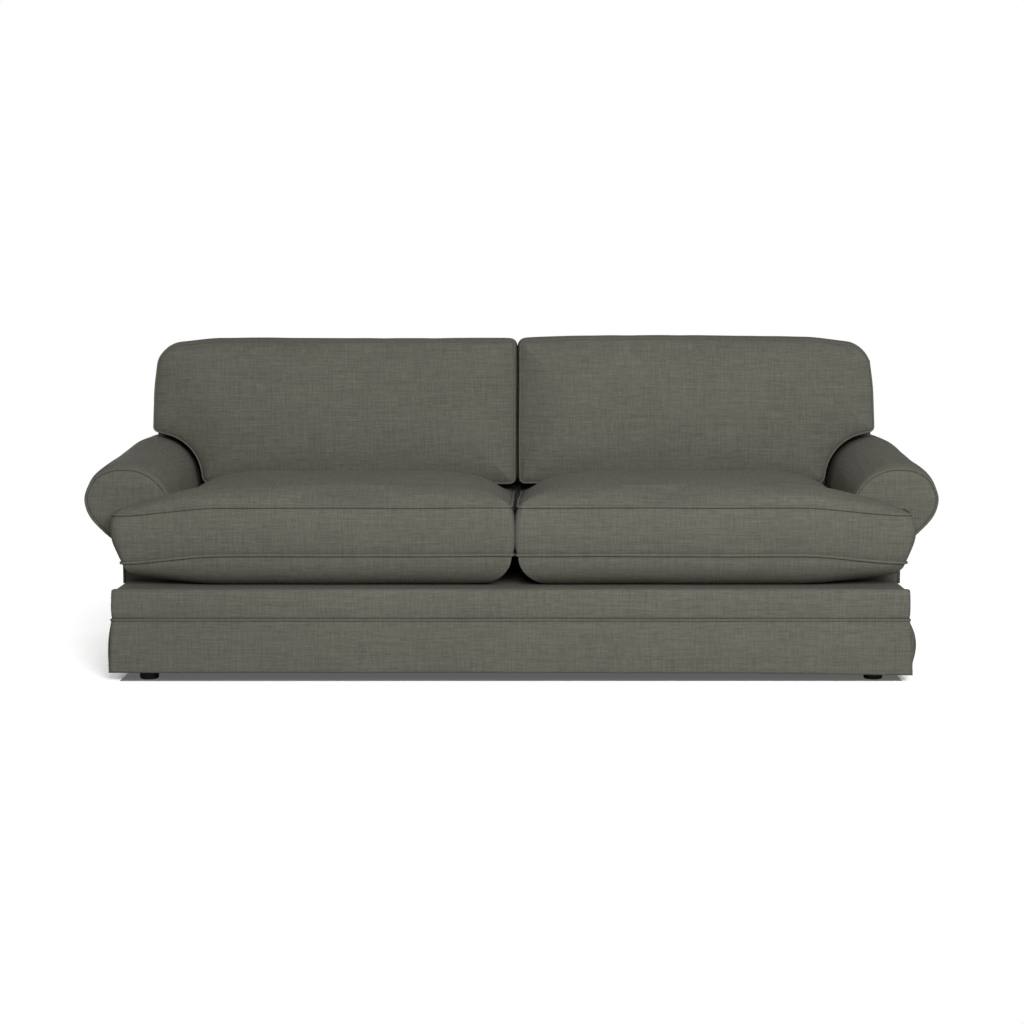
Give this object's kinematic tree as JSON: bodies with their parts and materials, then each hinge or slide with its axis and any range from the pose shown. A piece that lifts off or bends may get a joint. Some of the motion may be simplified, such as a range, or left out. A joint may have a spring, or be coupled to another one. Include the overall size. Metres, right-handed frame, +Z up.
{
  "type": "english roll arm sofa",
  "caption": "Low roll arm sofa with loose T-shaped seat and back cushions, piped seams, a tailored skirt with a piped head and short turned feet.",
  "frame": {"origin": "on the floor, under the middle of the sofa's overall box", "axes": "+X to the right of someone who looks at the front, +Y from the front to the back, +Z up"},
  "size_m": [2.4092, 0.974, 0.932],
  "materials": {
    "cloth": "grey-olive linen-look weave with fine slubs, matt",
    "lining": "black non-woven lining cloth",
    "filling": "off-white foam and fibre filling",
    "timber": "planed, unfinished hardwood",
    "black_wood": "turned wood, satin black lacquer",
    "spring_steel": "bare spring wire"
  },
  "bodies": {
    "frame": {"front_rail": "timber", "rear_rail": "timber", "side_rail_left": "timber", "side_rail_right": "timber", "seat_back_rail": "timber", "centre_brace": "timber", "back_post_left": "timber", "back_post_right": "timber", "back_top_rail": "timber", "arm_rail_left": "timber", "arm_rail_right": "timber", "arm_front_board_left": "timber", "arm_front_board_right": "timber", "corner_block_front_left": "timber", "foot_front_left": "black_wood", "corner_block_front_right": "timber", "foot_front_right": "black_wood", "corner_block_rear_left": "timber", "foot_rear_left": "black_wood", "corner_block_rear_right": "timber", "foot_rear_right": "black_wood", "seat_spring_1": "spring_steel", "seat_spring_2": "spring_steel", "seat_spring_3": "spring_steel", "seat_spring_4": "spring_steel", "seat_spring_5": "spring_steel", "seat_deck": "cloth", "dust_cover": "lining", "base_front_band": "cloth", "base_band_left": "cloth", "base_band_right": "cloth", "base_welt_front": "cloth", "base_welt_rear": "cloth", "base_welt_left": "cloth", "base_welt_right": "cloth", "skirt_front": "cloth", "skirt_rear": "cloth", "skirt_left": "cloth", "skirt_right": "cloth", "inside_back_pad": "cloth", "outside_back_panel": "cloth", "back_side_left": "cloth", "back_side_right": "cloth", "back_top_cap": "cloth", "arm_cover_left": "cloth", "arm_front_panel_left": "cloth", "arm_welt_left": "cloth", "arm_pad_left": "filling", "arm_cover_right": "cloth", "arm_front_panel_right": "cloth", "arm_welt_right": "cloth", "arm_pad_right": "filling"},
    "seat_cushion_left": {"seat_cushion_cover_left": "cloth", "seat_cushion_core_left": "filling"},
    "seat_cushion_right": {"seat_cushion_cover_right": "cloth", "seat_cushion_core_right": "filling"},
    "back_cushion_left": {"back_cushion_cover_left": "cloth", "back_cushion_core_left": "filling"},
    "back_cushion_right": {"back_cushion_cover_right": "cloth", "back_cushion_core_right": "filling"}
  },
  "joints": [
    {"name": "seat_cushion_left_pull", "type": "slide", "parent": "frame", "child": "seat_cushion_left", "axis": [0, -1, 0], "range_m": [0, 0.8]},
    {"name": "seat_cushion_right_pull", "type": "slide", "parent": "frame", "child": "seat_cushion_right", "axis": [0, -1, 0], "range_m": [0, 0.8]},
    {"name": "back_cushion_left_lift", "type": "slide", "parent": "frame", "child": "back_cushion_left", "axis": [0, 0, 1], "range_m": [0, 0.45]},
    {"name": "back_cushion_right_lift", "type": "slide", "parent": "frame", "child": "back_cushion_right", "axis": [0, 0, 1], "range_m": [0, 0.45]}
  ]
}
